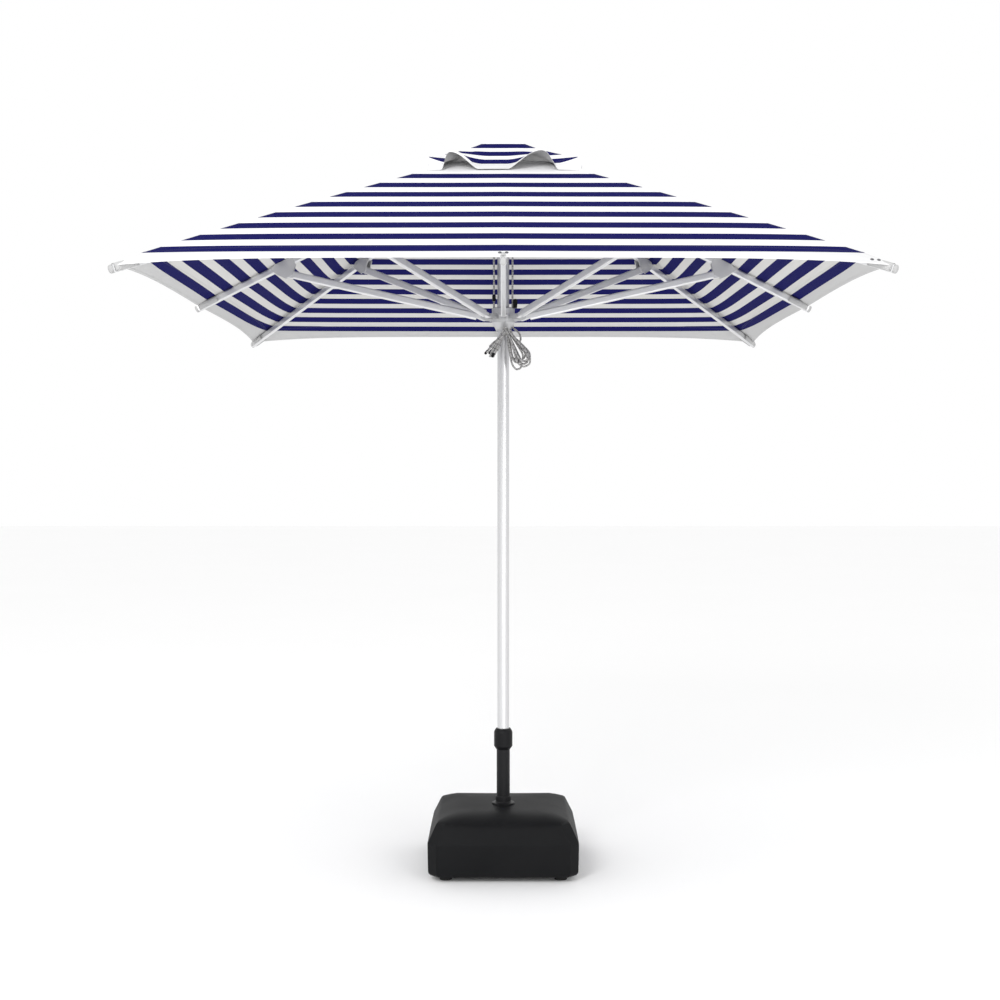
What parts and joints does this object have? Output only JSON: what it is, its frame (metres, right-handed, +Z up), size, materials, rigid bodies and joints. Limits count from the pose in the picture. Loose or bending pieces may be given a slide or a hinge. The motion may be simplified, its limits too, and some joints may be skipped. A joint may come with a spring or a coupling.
{
  "type": "patio umbrella with base",
  "caption": "Square striped patio umbrella with a vented canopy, folding ribs and struts, rope lift, one straight pole and a square fillable base.",
  "frame": {"origin": "on the floor under the pole axis, at the centre of the base", "axes": "+Z up along the pole, -Y towards the front, +X to the right"},
  "size_m": [2.5184, 2.5184, 2.953],
  "materials": {
    "tank_plastic": "moulded polyethylene, fine grain",
    "ballast": null,
    "foot_rubber": "dull",
    "black_steel": "satin powder coat",
    "black_plastic": "moulded nylon",
    "pole_aluminium": "satin silver coating, fine sparkle",
    "arm_aluminium": "satin anodised",
    "cast_alloy": "die cast, light grey coating",
    "steel": "zinc plated",
    "canopy_cloth": "woven polyester, navy stripes on white",
    "rope_braid": "braided cord"
  },
  "bodies": {
    "base_unit": {"base_tank": "tank_plastic", "ballast_water": "ballast", "foot_1": "foot_rubber", "foot_2": "foot_rubber", "foot_3": "foot_rubber", "foot_4": "foot_rubber", "stem_flange": "black_steel", "stem_tube": "black_steel"},
    "filler_cap_unit": {"filler_cap": "tank_plastic"},
    "clamp_nut_unit": {"clamp_nut": "black_plastic"},
    "collet_unit": {"collet": "black_plastic"},
    "mast": {"pole": "pole_aluminium", "crown_hub": "cast_alloy", "crown_pin_ring": "steel", "sheave_axle": "steel", "vent_plate": "cast_alloy", "vent_cap": "canopy_cloth", "rope_top_turn": "rope_braid", "rope_left_fall": "rope_braid", "rope_right_fall": "rope_braid"},
    "crown_sheave_unit": {"crown_sheave": "black_plastic"},
    "runner": {"runner_hub": "cast_alloy", "pulley_block": "black_plastic", "rope_stop": "black_plastic", "rope_tail": "rope_braid", "rope_hank_left": "rope_braid", "rope_hank_right": "rope_braid"},
    "block_sheave_unit": {"block_sheave": "steel"},
    "rib_unit_1": {"rib_1": "arm_aluminium", "bracket_1": "cast_alloy", "canopy_gore_1": "canopy_cloth"},
    "strut_unit_1": {"strut_1": "arm_aluminium"},
    "rib_unit_2": {"rib_2": "arm_aluminium", "bracket_2": "cast_alloy", "canopy_gore_2": "canopy_cloth"},
    "strut_unit_2": {"strut_2": "arm_aluminium"},
    "rib_unit_3": {"rib_3": "arm_aluminium", "bracket_3": "cast_alloy", "canopy_gore_3": "canopy_cloth"},
    "strut_unit_3": {"strut_3": "arm_aluminium"},
    "rib_unit_4": {"rib_4": "arm_aluminium", "bracket_4": "cast_alloy", "canopy_gore_4": "canopy_cloth"},
    "strut_unit_4": {"strut_4": "arm_aluminium"},
    "rib_unit_5": {"rib_5": "arm_aluminium", "bracket_5": "cast_alloy", "canopy_gore_5": "canopy_cloth"},
    "strut_unit_5": {"strut_5": "arm_aluminium"},
    "rib_unit_6": {"rib_6": "arm_aluminium", "bracket_6": "cast_alloy", "canopy_gore_6": "canopy_cloth"},
    "strut_unit_6": {"strut_6": "arm_aluminium"},
    "rib_unit_7": {"rib_7": "arm_aluminium", "bracket_7": "cast_alloy", "canopy_gore_7": "canopy_cloth"},
    "strut_unit_7": {"strut_7": "arm_aluminium"},
    "rib_unit_8": {"rib_8": "arm_aluminium", "bracket_8": "cast_alloy", "canopy_gore_8": "canopy_cloth"},
    "strut_unit_8": {"strut_8": "arm_aluminium"}
  },
  "joints": [
    {"name": "filler_cap_turn", "type": "hinge", "parent": "base_unit", "child": "filler_cap_unit", "pos_m": [0, 0.115, 0.2463], "axis": [0, 0, 1], "range_deg": [0, 540]},
    {"name": "clamp_nut_turn", "type": "hinge", "parent": "base_unit", "child": "clamp_nut_unit", "pos_m": [0, 0, 0.5], "axis": [0, 0, 1], "range_deg": [0, 270]},
    {"name": "pole_swivel", "type": "hinge", "parent": "base_unit", "child": "collet_unit", "pos_m": [0, 0, 0.53], "axis": [0, 0, 1], "continuous": true},
    {"name": "pole_lift", "type": "slide", "parent": "collet_unit", "child": "mast", "axis": [0, 0, 1], "range_m": [0, 0.5]},
    {"name": "runner_slide", "type": "slide", "parent": "mast", "child": "runner", "axis": [0, 0, 1], "range_m": [-1.12963, 0], "deforming": ["rope_left_fall", "rope_right_fall", "rope_tail", "rope_hank_left", "rope_hank_right"]},
    {"name": "crown_sheave_turn", "type": "hinge", "parent": "mast", "child": "crown_sheave_unit", "pos_m": [0, 0, 2.9], "axis": [0, 1, 0], "range_deg": [-1703.23, 0]},
    {"name": "block_sheave_turn", "type": "hinge", "parent": "runner", "child": "block_sheave_unit", "pos_m": [0.049, 0, 2.31], "axis": [0, 1, 0], "range_deg": [0, 11767.8]},
    {"name": "rib_1_fold", "type": "hinge", "parent": "mast", "child": "rib_unit_1", "pos_m": [0, -0.062, 2.876], "axis": [1, 0, 0], "range_deg": [0, 58.85], "deforming": ["canopy_gore_1"]},
    {"name": "strut_1_fold", "type": "hinge", "parent": "rib_unit_1", "child": "strut_unit_1", "pos_m": [0, -0.8869, 2.42401], "axis": [1, 0, 0], "range_deg": [-134.9, 0]},
    {"name": "rib_2_fold", "type": "hinge", "parent": "mast", "child": "rib_unit_2", "pos_m": [0.04384, -0.04384, 2.876], "axis": [0.7071, 0.7071, 0], "range_deg": [0, 65.46], "deforming": ["canopy_gore_2"]},
    {"name": "strut_2_fold", "type": "hinge", "parent": "rib_unit_2", "child": "strut_unit_2", "pos_m": [0.63342, -0.63342, 2.53572], "axis": [0.7071, 0.7071, 0], "range_deg": [-134.66, 0]},
    {"name": "rib_3_fold", "type": "hinge", "parent": "mast", "child": "rib_unit_3", "pos_m": [0.062, 0, 2.876], "axis": [0, 1, 0], "range_deg": [0, 58.85], "deforming": ["canopy_gore_3"]},
    {"name": "strut_3_fold", "type": "hinge", "parent": "rib_unit_3", "child": "strut_unit_3", "pos_m": [0.8869, 0, 2.42401], "axis": [0, 1, 0], "range_deg": [-134.9, 0]},
    {"name": "rib_4_fold", "type": "hinge", "parent": "mast", "child": "rib_unit_4", "pos_m": [0.04384, 0.04384, 2.876], "axis": [-0.7071, 0.7071, 0], "range_deg": [0, 65.46], "deforming": ["canopy_gore_4"]},
    {"name": "strut_4_fold", "type": "hinge", "parent": "rib_unit_4", "child": "strut_unit_4", "pos_m": [0.63342, 0.63342, 2.53572], "axis": [-0.7071, 0.7071, 0], "range_deg": [-134.66, 0]},
    {"name": "rib_5_fold", "type": "hinge", "parent": "mast", "child": "rib_unit_5", "pos_m": [0, 0.062, 2.876], "axis": [-1, 0, 0], "range_deg": [0, 58.85], "deforming": ["canopy_gore_5"]},
    {"name": "strut_5_fold", "type": "hinge", "parent": "rib_unit_5", "child": "strut_unit_5", "pos_m": [0, 0.8869, 2.42401], "axis": [-1, 0, 0], "range_deg": [-134.9, 0]},
    {"name": "rib_6_fold", "type": "hinge", "parent": "mast", "child": "rib_unit_6", "pos_m": [-0.04384, 0.04384, 2.876], "axis": [-0.7071, -0.7071, 0], "range_deg": [0, 65.46], "deforming": ["canopy_gore_6"]},
    {"name": "strut_6_fold", "type": "hinge", "parent": "rib_unit_6", "child": "strut_unit_6", "pos_m": [-0.63342, 0.63342, 2.53572], "axis": [-0.7071, -0.7071, 0], "range_deg": [-134.66, 0]},
    {"name": "rib_7_fold", "type": "hinge", "parent": "mast", "child": "rib_unit_7", "pos_m": [-0.062, 0, 2.876], "axis": [0, -1, 0], "range_deg": [0, 58.85], "deforming": ["canopy_gore_7"]},
    {"name": "strut_7_fold", "type": "hinge", "parent": "rib_unit_7", "child": "strut_unit_7", "pos_m": [-0.8869, 0, 2.42401], "axis": [0, -1, 0], "range_deg": [-134.9, 0]},
    {"name": "rib_8_fold", "type": "hinge", "parent": "mast", "child": "rib_unit_8", "pos_m": [-0.04384, -0.04384, 2.876], "axis": [0.7071, -0.7071, 0], "range_deg": [0, 65.46], "deforming": ["canopy_gore_8"]},
    {"name": "strut_8_fold", "type": "hinge", "parent": "rib_unit_8", "child": "strut_unit_8", "pos_m": [-0.63342, -0.63342, 2.53572], "axis": [0.7071, -0.7071, 0], "range_deg": [-134.66, 0]}
  ],
  "couplings": [
    {"joint": "crown_sheave_turn", "follows": "runner_slide", "rad_per_m": 26.316},
    {"joint": "block_sheave_turn", "follows": "runner_slide", "rad_per_m": -181.82},
    {"joint": "rib_1_fold", "follows": "runner_slide", "rad_per_m": -0.90929},
    {"joint": "strut_1_fold", "follows": "runner_slide", "rad_per_m": 2.0843},
    {"joint": "rib_2_fold", "follows": "runner_slide", "rad_per_m": -1.0114},
    {"joint": "strut_2_fold", "follows": "runner_slide", "rad_per_m": 2.0805},
    {"joint": "rib_3_fold", "follows": "runner_slide", "rad_per_m": -0.90929},
    {"joint": "strut_3_fold", "follows": "runner_slide", "rad_per_m": 2.0843},
    {"joint": "rib_4_fold", "follows": "runner_slide", "rad_per_m": -1.0114},
    {"joint": "strut_4_fold", "follows": "runner_slide", "rad_per_m": 2.0805},
    {"joint": "rib_5_fold", "follows": "runner_slide", "rad_per_m": -0.90929},
    {"joint": "strut_5_fold", "follows": "runner_slide", "rad_per_m": 2.0843},
    {"joint": "rib_6_fold", "follows": "runner_slide", "rad_per_m": -1.0114},
    {"joint": "strut_6_fold", "follows": "runner_slide", "rad_per_m": 2.0805},
    {"joint": "rib_7_fold", "follows": "runner_slide", "rad_per_m": -0.90929},
    {"joint": "strut_7_fold", "follows": "runner_slide", "rad_per_m": 2.0843},
    {"joint": "rib_8_fold", "follows": "runner_slide", "rad_per_m": -1.0114},
    {"joint": "strut_8_fold", "follows": "runner_slide", "rad_per_m": 2.0805}
  ]
}
